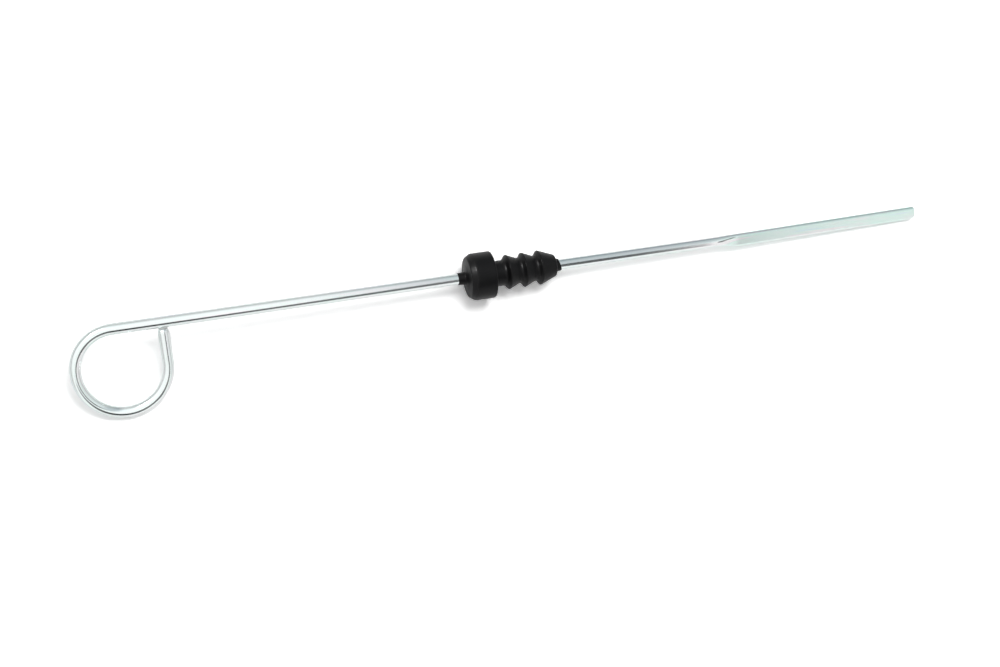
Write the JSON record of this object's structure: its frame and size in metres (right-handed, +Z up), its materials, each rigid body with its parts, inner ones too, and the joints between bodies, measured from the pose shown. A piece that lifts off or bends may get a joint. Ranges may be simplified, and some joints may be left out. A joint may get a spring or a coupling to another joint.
{
  "type": "oil dipstick",
  "caption": "Wire oil dipstick with a bent finger eye, a barbed rubber plug part way along and a flat rolled measuring blade, lying at rest.",
  "frame": {"origin": "on the floor under the middle of the part's box, as it lies at rest on the plug head's rim, the eye's outer bend and the blade's tip", "axes": "+X along the part's length in plan, from the finger eye to the blade's tip; +Y away from the side the eye is bent to; +Z up"},
  "size_m": [0.3182, 0.0372, 0.017],
  "materials": {
    "plated_wire": "bright zinc plate",
    "black_rubber": "satin"
  },
  "bodies": {
    "root": {"dipstick_wire": "plated_wire", "rubber_plug": "black_rubber"}
  },
  "joints": []
}
